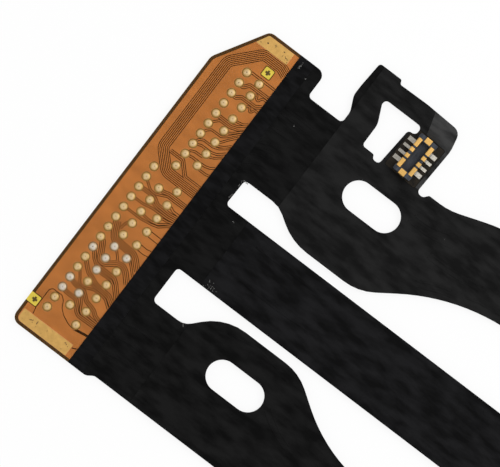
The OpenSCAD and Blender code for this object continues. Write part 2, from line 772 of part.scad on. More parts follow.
// a contact wraps a long wall: inner leg, top, outer leg
leg_gap = 0.06;
module contact_head(length, y) {
    wall_in = plug_hollow_w / 2;
    wall_out = plug_w / 2;
    translate([0, y + length / 2, 0]) rotate([90, 0, 0]) linear_extrude(length) polygon(rounded([
        [wall_out, 0, 0], [wall_out + contact_t, 0, 0],
        [wall_out + contact_t, plug_h + contact_t, 0.05], [wall_in - contact_t, plug_h + contact_t, 0.05],
        [wall_in - contact_t, plug_floor + leg_gap, 0], [wall_in, plug_floor + leg_gap, 0],
        [wall_in, plug_h, 0], [wall_out, plug_h, 0]
    ]));
}

module contact_foot(width, y) {
    out = plug_w / 2 + contact_t;
    translate([out, y - width / 2, 0]) cube([foot_end - out, width, contact_t]);
}

module both_sides() {
    children();
    mirror([1, 0, 0]) children();
}

power_foot_w = 0.2;
signal_foot_w = 0.14;

module plug_signal_contacts() {
    color("#e6cf8e") on_tab() both_sides() for (s = [-1, 1]) {
        contact_head(signal_len, s * plug_pitch / 2);
        contact_foot(signal_foot_w, s * plug_pitch / 2);
    }
}

module power_heads() {
    both_sides() for (s = [-1, 1]) contact_head(power_len, s * power_y);
}

module plug_power_contacts() {
    color("#e6cf8e") on_tab() {
        power_heads();
        both_sides() for (s = [-1, 1]) contact_foot(power_foot_w, s * plug_pitch * 3 / 2);
    }
}

nail_top = 0.25;
module plug_nails() {
    edge = plug_len / 2;
    top_in = edge - nail_top;
    color("#dcc486") on_tab() for (s = [0, 180]) rotate(s)
        translate([-nail_w / 2, 0, 0]) rotate([90, 0, 90]) linear_extrude(nail_w) polygon(rounded([
            [edge, 0, 0], [edge + contact_t, 0, 0], [edge + contact_t, plug_h + contact_t, 0.04],
            [top_in, plug_h + contact_t, 0], [top_in, plug_h, 0], [edge, plug_h, 0]
        ]));
}

// solder over one foot, sloping away from the contact
solder_h = 0.16;
solder_toe = 0.14;
module solder(width, y) {
    root = plug_w / 2 + contact_t;
    toe = foot_end + solder_toe;
    translate([0, y + width / 2, 0]) rotate([90, 0, 0]) linear_extrude(width) polygon([
        [root, contact_t], [root, solder_h], [root + 0.1, 0.09], [toe, contact_t],
        [toe, 0], [foot_end, 0], [foot_end, contact_t]
    ]);
}

module plug_solder() {
    color("#d6d6d8") on_tab() both_sides() for (s = [-1, 1]) {
        solder(signal_foot_w + 0.01, s * plug_pitch / 2);
        solder(power_foot_w + 0.02, s * plug_pitch * 3 / 2);
    }
}

base_film();
back_film();
bond_copper();
bond_traces();
bond_coverlay();
bond_contacts();
ground_land_upper();
ground_land_lower();
fiducial_windows();
fiducial_crosses();
probe_pads();
probe_pads_bright();
black_coverlay();
neck_band();
shield_upper();
shield_middle();
shield_lower();
tab_cover();
tab_solder_mask();
tab_stiffener();
plug_housing();
plug_signal_contacts();
plug_power_contacts();
plug_nails();
plug_solder();
end_contacts_upper();
end_contacts_middle();
end_contacts_lower();
end_stiffener_upper();
end_stiffener_middle();
end_stiffener_lower();
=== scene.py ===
import math
import random

import bmesh
import bpy
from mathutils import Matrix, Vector


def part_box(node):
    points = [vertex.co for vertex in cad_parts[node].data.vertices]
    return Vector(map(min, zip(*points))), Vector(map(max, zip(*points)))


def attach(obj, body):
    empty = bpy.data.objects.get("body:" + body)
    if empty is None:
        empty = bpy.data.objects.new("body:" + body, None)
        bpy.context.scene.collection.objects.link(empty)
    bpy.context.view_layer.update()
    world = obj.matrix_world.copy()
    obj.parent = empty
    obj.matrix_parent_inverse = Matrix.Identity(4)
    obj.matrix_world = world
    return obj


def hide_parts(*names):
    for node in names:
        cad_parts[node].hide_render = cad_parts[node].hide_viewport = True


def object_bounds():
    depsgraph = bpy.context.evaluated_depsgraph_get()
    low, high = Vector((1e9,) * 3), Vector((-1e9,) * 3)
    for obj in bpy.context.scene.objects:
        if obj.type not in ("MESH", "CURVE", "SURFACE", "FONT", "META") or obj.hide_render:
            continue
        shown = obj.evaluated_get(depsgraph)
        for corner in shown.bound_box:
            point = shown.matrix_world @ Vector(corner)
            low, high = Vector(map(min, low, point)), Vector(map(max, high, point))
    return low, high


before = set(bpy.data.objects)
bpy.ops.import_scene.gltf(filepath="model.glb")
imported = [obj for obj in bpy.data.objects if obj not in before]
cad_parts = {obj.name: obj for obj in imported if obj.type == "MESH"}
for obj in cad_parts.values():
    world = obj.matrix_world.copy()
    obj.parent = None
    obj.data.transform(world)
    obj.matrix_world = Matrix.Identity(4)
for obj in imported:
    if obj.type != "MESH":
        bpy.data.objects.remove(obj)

bl_info = {
    "name": "Flat flex cable looks",
    "version": (1, 0, 0),
    "blender": (4, 5, 0),
    "location": "View3D > Sidebar > Flex cable",
    "description": "Dresses the flat flex cable: its films, copper, pads, plug and stage",
    "category": "Object",
}

CAD_LOW, CAD_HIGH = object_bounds()
# one millimetre, in metres
MM = 0.001
# how far the clear film's underside stands off the copper, in millimetres
FILM_LIFT = 0.003
# what lies within this of a film's top face counts as on it, in millimetres
SKIN = 0.001
# cut corner of the copper, along x and along y, in millimetres
CHAMFER = (1.48, 2.47)
# share of haze in the clear film's look
HAZE = 0.08
# depth that a probe mark sits in a pad's crown, and thickness of scratches and crumbs, in millimetres
MARK_SINK = 0.001
SCRATCH_THICK = 0.002
CRUMB_THICK = 0.003
# white card under the object: half its width in metres, gap below the part in millimetres,
# share of it that glows in the rays that show the background, and brightness of its matt share
FLOOR_HALF = 0.4
FLOOR_GAP = 0.002
CARD_GLOW = 0.88
CARD_WHITE = 0.96
# lamp: its width, and its place from the middle of the part, in metres
LAMP_WIDTH = 0.12
LAMP_PLACE = (0.06, 0.08, 0.14)
# camera: focal length and sensor width in millimetres, the point that it looks down on in
# millimetres, and its clipping distances as shares of its distance
LENS = 200
SENSOR = 36
VIEW_CENTRE = (6.595, 0.948)
CLIP_NEAR = 0.1
CLIP_FAR = 20


# ---------- colours and nodes ----------

def linear(hexa):
    """Linear RGB of an sRGB hex colour."""
    parts = [int(hexa[i:i + 2], 16) / 255 for i in (1, 3, 5)]
    return tuple(c / 12.92 if c <= 0.04045 else ((c + 0.055) / 1.055) ** 2.4 for c in parts)


def toned(colour, by):
    """A colour made lighter or darker."""
    return tuple(min(1.0, c * by) for c in colour)


def per_mm(size_mm):
    """Texture scale that gives features of this size on coordinates in metres."""
    return 1 / (size_mm * MM)


def add(tree, kind, settings=None, links=None):
    """Adds a node with its settings, which name its own values or its sockets, and its links."""
    node = tree.nodes.new("ShaderNode" + kind)
    for key, value in (settings or {}).items():
        if key == "stops":
            elements = node.color_ramp.elements
            while len(elements) < len(value):
                elements.new(1.0)
            for element, (position, colour) in zip(elements, value):
                element.position = position
                element.color = (*colour, 1.0)
        elif isinstance(key, int) or key in node.inputs:
            socket = node.inputs[key]
            socket.default_value = (*value, 1.0) if socket.type == "RGBA" else value
        else:
            setattr(node, key, value)
    for key, source in (links or {}).items():
        output = source.outputs[0] if isinstance(source, bpy.types.Node) else source
        tree.links.new(output, node.inputs[key])
    return node


def blank(name):
    """A material with no nodes."""
    material = bpy.data.materials.new(name)
    material.use_nodes = True
    material.node_tree.nodes.clear()
    return material, material.node_tree


def surfaced(name, dark, light, cloud_mm, grain_mm, relief_mm, stretch=(1, 1, 1), gloss=(0.4, 0.5),
             soft=0.2, **shader):
    """A material whose colour drifts in clouds, and whose fine grain varies its gloss and relief.

    The colour goes from dark to light within soft of the middle of the clouds' range.
    """
    material, tree = blank(name)
    where = add(tree, "TexCoord").outputs["Object"]
    along = add(tree, "Mapping", {"Scale": stretch}, {"Vector": where})
    cloud = add(tree, "TexNoise", {"Scale": per_mm(cloud_mm), "Detail": 3.0}, {"Vector": along})
    fine = {"Scale": per_mm(grain_mm), "Detail": 4.0, "Roughness": 0.6}
    grain = add(tree, "TexNoise", fine, {"Vector": along})
    tone = add(tree, "ValToRGB", {"stops": ((0.5 - soft, dark), (0.5 + soft, light))}, {"Fac": cloud})
    rough = add(tree, "MapRange", {"To Min": gloss[0], "To Max": gloss[1]}, {"Value": grain})
    bump = add(tree, "Bump", {"Distance": relief_mm * MM}, {"Height": grain})
    settings = {key.replace("_", " "): value for key, value in shader.items()}
    skin = add(tree, "BsdfPrincipled", settings, {"Base Color": tone, "Roughness": rough, "Normal": bump})
    add(tree, "OutputMaterial", {}, {"Surface": skin})
    return material


# ---------- settings that a user would change ----------

class FilmLooks(bpy.types.PropertyGroup):
    """Colours and finish of the films."""

    amber: bpy.props.FloatVectorProperty(
        name="Amber cover film", description="What the clear film over the copper lets through",
        subtype="COLOR", default=linear("#ede2c6"), min=0, max=1)
    base: bpy.props.FloatVectorProperty(
        name="Base film", description="Colour of the film that carries the copper",
        subtype="COLOR", default=linear("#3e3019"), min=0, max=1)
    outer_shield: bpy.props.FloatVectorProperty(
        name="Outer shield film", description="Colour of the shield film on the outer branches",
        subtype="COLOR", default=linear("#121212"), min=0, max=1)
    middle_shield: bpy.props.FloatVectorProperty(
        name="Middle shield film", description="Colour of the shield film on the middle branch",
        subtype="COLOR", default=linear("#0f0f10"), min=0, max=1)
    cover: bpy.props.FloatVectorProperty(
        name="Black cover film", description="Colour of the black film between the window and the shields",
        subtype="COLOR", default=linear("#0b0b0b"), min=0, max=1)
    # the streaks are painted sheen: long bands of lighter and darker colour along the films
    sheen_streak: bpy.props.FloatProperty(
        name="Film sheen streaks", description="Width of the faint streaks along the black films, in millimetres",
        default=0.45, min=0.05, max=5)


class MetalLooks(bpy.types.PropertyGroup):
    """Colours of the metals."""

    copper: bpy.props.FloatVectorProperty(
        name="Copper foil", description="Colour of the copper under the amber film",
        subtype="COLOR", default=linear("#cc8f62"), min=0, max=1)
    gold: bpy.props.FloatVectorProperty(
        name="Gold plating", description="Colour of the plated lands and contacts",
        subtype="COLOR", default=linear("#c09856"), min=0, max=1)
    tin: bpy.props.FloatVectorProperty(
        name="Tin", description="Colour of the solder",
        subtype="COLOR", default=linear("#9c988f"), min=0, max=1)


class MarkLooks(bpy.types.PropertyGroup):
    """Marks of handling."""

    probe_mark: bpy.props.FloatProperty(
        name="Probe mark", description="Length of the mark that a test probe leaves on a pad",
        subtype="DISTANCE", unit="LENGTH", default=0.07 * MM, min=0, max=MM)
    ridge_height: bpy.props.FloatProperty(
        name="Trace ridge", description="Height of the ridges that traces raise in the black film",
        subtype="DISTANCE", unit="LENGTH", default=0.008 * MM, min=0, max=MM)
    seed: bpy.props.IntProperty(
        name="Seed", description="Start of the marks' random shapes", default=7, min=0)


class StageLooks(bpy.types.PropertyGroup):
    """Camera and light."""

    turn: bpy.props.FloatProperty(
        name="Camera turn", description="Turn of the camera about the vertical",
        subtype="ANGLE", unit="ROTATION", default=math.radians(37.3))
    across: bpy.props.FloatProperty(
        name="View width", description="Width that the camera takes in at the film",
        subtype="DISTANCE", unit="LENGTH", default=23.81 * MM, min=0.001)
    key_power: bpy.props.FloatProperty(
        name="Key light", description="Power of the large soft lamp, in watts",
        default=0.12, min=0)
    fill: bpy.props.FloatProperty(
        name="Fill", description="Strength of the even light from all round",
        default=0.72, min=0)


# ---------- materials ----------

def cast_polyimide(looks):
    # cast polyimide film on dark adhesive: deep olive brown with faint clouds
    base = tuple(looks.base)
    return surfaced("cast_polyimide", toned(base, 0.8), toned(base, 1.2), 0.9, 0.1, 0.0006,
                    gloss=(0.36, 0.46), IOR=1.6, Specular_IOR_Level=0.15)


def pressed_amber_film(looks):
    # hot-pressed polyimide cover film: clear amber with a faint haze over the metal
    material, tree = blank("pressed_amber_film")
    where = add(tree, "TexCoord").outputs["Object"]
    cloud = add(tree, "TexNoise", {"Scale": per_mm(1.6)}, {"Vector": where})
    ripple = add(tree, "TexNoise", {"Scale": per_mm(0.3)}, {"Vector": where})
    amber = tuple(looks.amber)
    tint = add(tree, "ValToRGB", {"stops": ((0.3, toned(amber, 0.95)), (0.7, amber))}, {"Fac": cloud})
    clear = add(tree, "BsdfTransparent", {}, {"Color": tint})
    bump = add(tree, "Bump", {"Distance": 0.002 * MM}, {"Height": ripple})
    haze = add(tree, "BsdfPrincipled",
               {"Base Color": linear("#a5632c"), "Roughness": 0.3, "IOR": 1.6}, {"Normal": bump})
    film = add(tree, "MixShader", {0: HAZE}, {1: clear, 2: haze})
    # the tint and the haze sit on the top face, so that light passes them once each way
    height = add(tree, "SeparateXYZ", {}, {"Vector": where}).outputs["Z"]
    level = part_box("bond_coverlay")[1].z - SKIN * MM
    on_top = add(tree, "Math", {"operation": "GREATER_THAN", 1: level}, {0: height})
    inside = add(tree, "BsdfTransparent")
    layers = add(tree, "MixShader", {}, {0: on_top, 1: inside, 2: film})
    add(tree, "OutputMaterial", {}, {"Surface": layers})
    return material


def rolled_copper(looks):
    # rolled copper foil: warm satin metal whose grain is drawn out along the rolling direction
    copper = tuple(looks.copper)
    return surfaced("rolled_copper", toned(copper, 0.84), toned(copper, 1.08), 0.6, 0.2, 0.0004,
                    stretch=(0.5, 1, 1), gloss=(0.5, 0.58), Metallic=0.9)


def etched_copper(looks):
    # copper lines left by etching: as bright as the foil, with an even finish
    copper = tuple(looks.copper)
    return surfaced("etched_copper", toned(copper, 0.94), toned(copper, 1.06), 0.5, 0.2, 0.0002,
                    gloss=(0.5, 0.54), Metallic=0.9)


def adhesive_and_gap_shade():
    # epoxy adhesive pressed into the etched gaps: nearly black brown, partly its own colour and partly
    # painted shade between the copper walls
    return surfaced("adhesive_and_gap_shade", linear("#150e05"), linear("#241808"), 0.4, 0.1, 0.0004,
                    gloss=(0.5, 0.6), IOR=1.55, Specular_IOR_Level=0.03)


def scuffed_gold(looks):
    # soft gold plating over copper: satin yellow, mottled where the copper grain shows through
    gold = tuple(looks.gold)
    return surfaced("scuffed_soft_gold", toned(gold, 0.86), toned(gold, 1.06), 0.22, 0.07, 0.003,
                    gloss=(0.4, 0.6), Metallic=0.9)


def bright_gold(looks):
    # hard gold on stamped contacts: cleaner and paler than the lands
    gold = toned(tuple(looks.gold), 1.1)
    return surfaced("stamped_hard_gold", toned(gold, 0.92), toned(gold, 1.1), 0.3, 0.05, 0.002,
                    stretch=(1, 0.3, 1), gloss=(0.28, 0.4), Metallic=0.95)


def plated_dome_painted_light(name, node, crown, shoulder, flange_and_shade):
    # plating bumped up on a pad, coloured by its height: pale on its crown, which is partly a painted
    # highlight, yellow on the shoulder, and dull in the ring round it, which is partly painted shade
    material, tree = blank(name)
    where = add(tree, "TexCoord").outputs["Object"]
    low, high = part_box(node)
    height = add(tree, "SeparateXYZ", {}, {"Vector": where}).outputs["Z"]
    height_shading = add(tree, "MapRange", {"From Min": low.z, "From Max": high.z}, {"Value": height})
    blotch = add(tree, "TexNoise", {"Scale": per_mm(0.12), "Detail": 3.0}, {"Vector": where})
    wander = add(tree, "Math", {"operation": "MULTIPLY_ADD", 1: 0.5, 2: -0.25}, {0: blotch})
    uneven = add(tree, "Math", {"operation": "ADD"}, {0: height_shading, 1: wander})
    # painted light by height: the crown lighter as a highlight, the ring darker as shade at the opening's
    # rim, over the plating's own tones
    stops = ((0.12, flange_and_shade), (0.4, toned(shoulder, 0.85)), (0.72, shoulder), (0.96, crown))
    tone = add(tree, "ValToRGB", {"stops": stops}, {"Fac": uneven})
    rough = add(tree, "MapRange", {"To Min": 0.35, "To Max": 0.55}, {"Value": blotch})
    bump = add(tree, "Bump", {"Distance": 0.006 * MM}, {"Height": blotch})
    skin = add(tree, "BsdfPrincipled", {"Metallic": 0.8},
               {"Base Color": tone, "Roughness": rough, "Normal": bump})
    add(tree, "OutputMaterial", {}, {"Surface": skin})
    return material


def bare_yellow_film():
    # bare polyimide in the windows: bright yellow with faint clouds
    return surfaced("bare_yellow_polyimide", linear("#cdb33c"), linear("#e2cb4c"), 0.35, 0.08, 0.001,
                    gloss=(0.25, 0.35), IOR=1.6, Specular_IOR_Level=0.2)


def tarnished_copper():
    # etched copper left bare: tarnished to a dark olive brown
    return surfaced("tarnished_copper", linear("#3d2e06"), linear("#55420e"), 0.1, 0.05, 0.001,
                    gloss=(0.5, 0.65), Metallic=0.4)


def black_film(name, colour, sheen_streak_mm, gloss, level=0.045):
    # black-filled film, matt from its carrier: faint long streaks of tone that are painted sheen, and a fine
    # tooth
    return surfaced(name, toned(colour, 0.35), toned(colour, 1.9), sheen_streak_mm, 0.12, 0.0015,
                    stretch=(0.35, 1, 1), gloss=gloss, soft=0.14, IOR=1.5, Specular_IOR_Level=level)


def moulded_lcp():
    # moulded liquid crystal polymer: hard blue-grey plastic with a fine flow grain
    return surfaced("moulded_lcp", linear("#2b2e34"), linear("#42464e"), 0.14, 0.05, 0.002,
                    stretch=(1, 0.25, 1), gloss=(0.35, 0.5), IOR=1.5, Specular_IOR_Level=0.15)


def reflowed_solder(looks):
    # reflowed tin solder: bright grey metal, slightly frosted
    tin = tuple(looks.tin)
    return surfaced("reflowed_solder", toned(tin, 0.8), toned(tin, 1.15), 0.09, 0.04, 0.004,
                    gloss=(0.25, 0.4), Metallic=0.9)


def printed_mask():
    # printed solder mask, nearly black, olive where it thins over the copper
    return surfaced("printed_solder_mask", linear("#0d0c0a"), linear("#2a2319"), 0.24, 0.08, 0.002,
                    gloss=(0.35, 0.5), Specular_IOR_Level=0.1)


def rolled_steel():
    # rolled stainless sheet: fine parallel lines from the rolls
    return surfaced("rolled_stainless", linear("#868686"), linear("#a6a6a6"), 0.5, 0.04, 0.001,
                    stretch=(0.08, 1, 1), gloss=(0.3, 0.45), Metallic=1.0)


def thick_polyimide():
    # laminated thick polyimide: deep amber brown, satin
    return surfaced("laminated_polyimide", linear("#6d3f12"), linear("#8a5419"), 0.8, 0.1, 0.001,
                    gloss=(0.3, 0.42), IOR=1.6, Specular_IOR_Level=0.3)


def probe_scuff():
    # bared copper in a scratch of the plating: dull dark brown
    return surfaced("scratched_plating", linear("#4a3618"), linear("#6d5227"), 0.06, 0.03, 0.001,
                    gloss=(0.6, 0.75), Metallic=0.2)


def dried_adhesive():
    # squeezed-out adhesive, dried pale grey and torn at the film's edge
    return surfaced("dried_adhesive", linear("#4c4c4a"), linear("#8a8a87"), 0.06, 0.03, 0.002,
                    gloss=(0.5, 0.7), Specular_IOR_Level=0.2)


def dress(material, *nodes):
    """Gives CAD nodes a material in place of their own."""
    for name in nodes:
        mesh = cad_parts[name].data
        mesh.materials.clear()
        mesh.materials.append(material)


def film_top(node):
    """Level of a film's broad face. Two shield films have raised patches, so the flat one stands for all."""
    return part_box("shield_upper" if node.startswith("shield") else node)[1].z


# ---------- small meshes ----------

def piece(name, bm, material, smooth=False):
    """Makes a mesh into a piece that rides on the body."""
    bmesh.ops.recalc_face_normals(bm, faces=bm.faces)
    mesh = bpy.data.meshes.new(name)
    bm.to_mesh(mesh)
    bm.free()
    for face in mesh.polygons:
        face.use_smooth = smooth
    mesh.materials.append(material)
    made = bpy.data.objects.new(name, mesh)
    bpy.context.scene.collection.objects.link(made)
    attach(made, "root")
    return made


def flake(bm, centre, size, turn, z, thick, rng, sides=9):
    """A thin chip of ragged outline: centre, size and thickness in millimetres."""
    ring = []
    for i in range(sides):
        angle = 2 * math.pi * i / sides
        reach = rng.uniform(0.65, 1.0)
        along, across = size[0] / 2 * reach * math.cos(angle), size[1] / 2 * reach * math.sin(angle)
        ring.append((centre[0] + along * math.cos(turn) - across * math.sin(turn),
                     centre[1] + along * math.sin(turn) + across * math.cos(turn)))
    low = [bm.verts.new((x * MM, y * MM, z)) for x, y in ring]
    high = [bm.verts.new((x * MM, y * MM, z + thick * MM)) for x, y in ring]
    bm.faces.new(high)
    bm.faces.new(reversed(low))
    for i in range(sides):
        k = (i + 1) % sides
        bm.faces.new((low[i], low[k], high[k], high[i]))


def ridge(bm, route, width, z, height, steps=6):
    """A low rounded rib along a route, tapering to nothing at both ends: route and width in millimetres."""
    points = [Vector((x * MM, y * MM)) for x, y in route]
    rings = []
    for i, point in enumerate(points):
        ahead = (points[min(i + 1, len(points) - 1)] - points[max(i - 1, 0)]).normalized()
        side = Vector((-ahead.y, ahead.x))
        swell = math.sin(math.pi * i / (len(points) - 1)) ** 0.5 if 0 < i < len(points) - 1 else 0.05
        ring = []
        for k in range(steps + 1):
            t = k / steps * 2 - 1
            spot = point + side * t * width / 2 * MM * (0.4 + 0.6 * swell)
            ring.append(bm.verts.new((spot.x, spot.y, z + height * swell * (1 - t * t) ** 2)))
        rings.append(ring)
    for first, second in zip(rings, rings[1:]):
        for k in range(steps):
            bm.faces.new((first[k], first[k + 1], second[k + 1], second[k]))
        bm.faces.new((first[0], second[0], second[-1], first[-1]))
    bm.faces.new(rings[0])
    bm.faces.new(reversed(rings[-1]))


def curved(p, q, r, s, t):
    """One coordinate of a Catmull-Rom curve from q to r, at share t of the way."""
    square = (2 * p - 5 * q + 4 * r - s) * t * t
    cube = (3 * q - p - 3 * r + s) * t ** 3
    return 0.5 * (2 * q + (r - p) * t + square + cube)


def smoothed(corners, per_side=8):
    """A Catmull-Rom route through corners."""
    route = []
    ends = [corners[0], *corners, corners[-1]]
    for a, b, c, d in zip(ends, ends[1:], ends[2:], ends[3:]):
        for i in range(per_side):
            t = i / per_side
            route.append(tuple(curved(p, q, r, s, t) for p, q, r, s in zip(a, b, c, d)))
    return [*route, corners[-1]]


def island_centres(node):
    """The centre of each separate solid of a node, in millimetres."""
    bm = bmesh.new()
    bm.from_mesh(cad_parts[node].data)
    bmesh.ops.remove_doubles(bm, verts=bm.verts, dist=0.0001 * MM)
    left = set(bm.verts)
    centres = []
    while left:
        start = left.pop()
        group, edge = [start], [start]
        while edge:
            for link in edge.pop().link_edges:
                for vert in link.verts:
                    if vert in left:
                        left.remove(vert)
                        group.append(vert)
                        edge.append(vert)
        xs, ys = [v.co.x for v in group], [v.co.y for v in group]
        centres.append(((min(xs) + max(xs)) / 2 / MM, (min(ys) + max(ys)) / 2 / MM))
    bm.free()
    return sorted(centres)


# ---------- places of the marks, in millimetres ----------

# scratches in the lands' plating: x, y, length, width, turn in degrees
UPPER_LAND_MARKS = [
    (1.79, 8.68, 0.13, 0.12, 0), (1.48, 8.53, 0.08, 0.05, 20), (2.16, 8.84, 0.06, 0.05, 0),
    (2.2, 8.77, 0.13, 0.05, 60), (2.13, 8.79, 0.07, 0.04, 110), (2.67, 8.81, 0.1, 0.07, 10),
    (2.71, 8.62, 0.13, 0.03, 85), (2.84, 8.65, 0.1, 0.05, 150), (2.92, 8.61, 0.14, 0.06, 10),
    (3, 8.59, 0.08, 0.05, 60), (3.06, 8.47, 0.07, 0.05, 90), (2.9, 8.52, 0.05, 0.03, 0),
]
LOWER_LAND_MARKS = [
    (0.8, -8.64, 0.16, 0.06, 30), (0.88, -8.6, 0.1, 0.05, 80), (0.73, -8.68, 0.08, 0.04, 0),
    (0.9, -8.7, 0.06, 0.05, 0), (1.11, -8.56, 0.2, 0.06, 80), (1.12, -8.64, 0.08, 0.04, 60),
    (1.72, -8.6, 0.15, 0.03, 120), (2.76, -8.53, 0.12, 0.06, 20), (2.84, -8.56, 0.08, 0.05, 70),
    (2.95, -8.61, 0.07, 0.04, 110), (1.16, -8.77, 0.04, 0.03, 0), (0.4, -8.84, 0.06, 0.02, 20),
    (1.56, -8.88, 0.05, 0.03, 0), (2.76, -8.88, 0.05, 0.04, 0), (0.36, -8.54, 0.04, 0.03, 0),
    (1.92, -8.46, 0.03, 0.03, 0), (2.4, -8.8, 0.04, 0.03, 40),
]
# pale crumbs at the black films' edges: node whose top they are level with, x, y, spread in x and y,
# count, size of one
CRUMBS = [
    ("neck_band", 3.67, 8.68, 0.02, 0.1, 12, 0.08),
    ("neck_band", 4.23, 8.41, 0.01, 0.01, 3, 0.06),
    ("black_coverlay", 4.95, 2.77, 0.07, 0.02, 16, 0.06),
    ("black_coverlay", 4.79, 2.55, 0.015, 0.06, 9, 0.05),
    ("black_coverlay", 5.12, 6.33, 0.03, 0.03, 3, 0.06),
    ("black_coverlay", 5.66, 0.92, 0.03, 0.02, 3, 0.05),
    ("shield_middle", 6.72, -2.2, 0.2, 0.1, 16, 0.06),
    ("shield_middle", 6.5, -2.3, 0.1, 0.06, 8, 0.05),
    ("black_coverlay", 6.7, -4.46, 0.1, 0.07, 10, 0.05),
    ("shield_upper", 14.13, 6.33, 0.03, 0.02, 3, 0.05),
    ("black_coverlay", 4.78, 1.77, 0.02, 0.12, 16, 0.06),
    ("shield_lower", 8.6, -8.75, 0.05, 0.03, 3, 0.04),
]
# routes of traces that raise the black film: node they lie on, width, corners
RIDGES = [
    ("black_coverlay", 0.16, [(4.3, 6.72), (5.2, 6.74), (6.1, 6.7)]),
    ("black_coverlay", 0.14, [(4.3, 6.4), (5, 6.42), (5.8, 6.38)]),
    ("black_coverlay", 0.16, [(4.3, 6.14), (5, 6.14), (5.7, 6.08)]),
    ("black_coverlay", 0.18, [(4.3, 5.6), (4.9, 5.62), (5.5, 5.66)]),
    ("black_coverlay", 0.14, [(4.3, 4.66), (4.7, 4.86), (5.4, 5)]),
    ("black_coverlay", 0.13, [(4.28, 4.3), (4.7, 4.52), (5.3, 4.62)]),
    ("black_coverlay", 0.13, [(4.28, 3.96), (4.6, 4.16), (5.1, 4.26)]),
    ("black_coverlay", 0.13, [(4.28, 3.42), (4.6, 3.68), (5.2, 3.92)]),
    ("black_coverlay", 0.13, [(4.3, 2.9), (4.5, 3.12), (4.7, 3.22)]),
    ("black_coverlay", 0.14, [(4.4, 0.9), (5, 1), (5.8, 0.96)]),
    ("black_coverlay", 0.14, [(4.4, -6.1), (5.2, -5.9), (6.5, -6)]),
    ("black_coverlay", 0.14, [(4.4, -6.9), (5.2, -6.7), (6.6, -6.75)]),
    ("black_coverlay", 0.14, [(4.4, -7.8), (5.2, -7.6), (6.6, -7.5)]),
    ("shield_upper", 0.14, [(12.3, 6.4), (13.2, 6.42), (14.2, 6.66)]),
    ("shield_upper", 0.14, [(12.2, 6), (13.4, 6), (14.8, 6.24)]),
    ("shield_upper", 0.12, [(14.2, 3.92), (15, 4.3), (16, 4.6)]),
    ("shield_upper", 0.12, [(14.5, 3.76), (15.3, 4.12), (16.3, 4.42)]),
    ("shield_upper", 0.12, [(16.6, 4.72), (17.3, 4.94), (18.6, 5.1)]),
    ("shield_upper", 0.14, [(14, 5.4), (15.2, 5.4), (17, 5.62)]),
    ("shield_upper", 0.14, [(14, 5.16), (15.4, 5.2), (17, 5.4)]),
    ("shield_lower", 0.12, [(12.2, -5.3), (13.2, -5.9), (14.3, -6.3)]),
    ("shield_lower", 0.12, [(12.4, -5.1), (13.5, -5.72), (14.6, -6.1)]),
    ("shield_lower", 0.12, [(8.6, -3.5), (10.4, -3.2), (12.2, -3.6)]),
    ("shield_middle", 0.14, [(7.2, 0.6), (9, 0.62), (11.4, 0.58)]),
    ("shield_middle", 0.14, [(7, -1.1), (9.4, -1.16), (12, -1.08)]),
]


# ---------- operators ----------

class FLEX_OT_amber_end(bpy.types.Operator):
    """Dresses the base film and the copper of the bond end, and makes its amber cover film"""

    bl_idname = "flex.amber_end"
    bl_label = "Amber bond end"

    def execute(self, context):
        films = context.scene.flex_films
        metals = context.scene.flex_metals
        dress(cast_polyimide(films), "base_film")
        dress(rolled_copper(metals), "bond_copper")
        dress(etched_copper(metals), "bond_traces")
        # the film's underside is lifted a hair off the copper, so that light meets one face at a time
        bm = bmesh.new()
        bm.from_mesh(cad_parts["bond_coverlay"].data)
        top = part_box("bond_coverlay")[1].z
        for vert in bm.verts:
            if vert.co.z < top - SKIN * MM:
                vert.co.z += FILM_LIFT * MM
        self.adhesive()
        film = piece("amber_cover_film", bm, pressed_amber_film(films))
        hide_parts("bond_coverlay")
        return {"FINISHED"}

    def adhesive(self):
        """A thin floor of adhesive under the copper, which shows in the etched gaps; its near-black colour
        is partly painted shade between the copper walls.
        """
        low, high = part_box("bond_copper")
        inset, depth, corner = 0.06 * MM, 0.004 * MM, 0.2 * MM
        left, right, foot, head = low.x + inset, high.x - inset, low.y + inset, high.y - inset
        outline = [(left, foot + corner), (left + corner, foot), (right, foot), (right, head),
                   (low.x + CHAMFER[0] * MM + inset, head), (left, high.y - CHAMFER[1] * MM - inset)]
        bm = bmesh.new()
        bottom = [bm.verts.new((x, y, low.z + depth / 4)) for x, y in outline]
        top = [bm.verts.new((x, y, low.z + depth)) for x, y in outline]
        bm.faces.new(top)
        bm.faces.new(reversed(bottom))
        for i, vert in enumerate(bottom):
            k = (i + 1) % len(bottom)
            bm.faces.new((vert, bottom[k], top[k], top[i]))
        # painted shade: the near-black floor stands partly for the shade between the copper walls
        piece("gap_adhesive_and_shade", bm, adhesive_and_gap_shade())


class FLEX_OT_gold(bpy.types.Operator):
    """Dresses the lands, the underside contacts, the tails' contacts and the plug's metal"""

    bl_idname = "flex.gold"
    bl_label = "Gold lands and contacts"

    def execute(self, context):
        metals = context.scene.flex_metals
        dress(scuffed_gold(metals), "ground_land_upper", "ground_land_lower")
        dress(bright_gold(metals), "bond_contacts", "end_contacts_upper", "end_contacts_middle",
              "end_contacts_lower", "plug_signal_contacts", "plug_power_contacts", "plug_nails")
        return {"FINISHED"}


class FLEX_OT_fiducials(bpy.types.Operator):
    """Dresses the fiducial windows and their crosses"""

    bl_idname = "flex.fiducials"
    bl_label = "Fiducials"

    def execute(self, context):
        dress(bare_yellow_film(), "fiducial_windows")
        dress(tarnished_copper(), "fiducial_crosses")
        return {"FINISHED"}


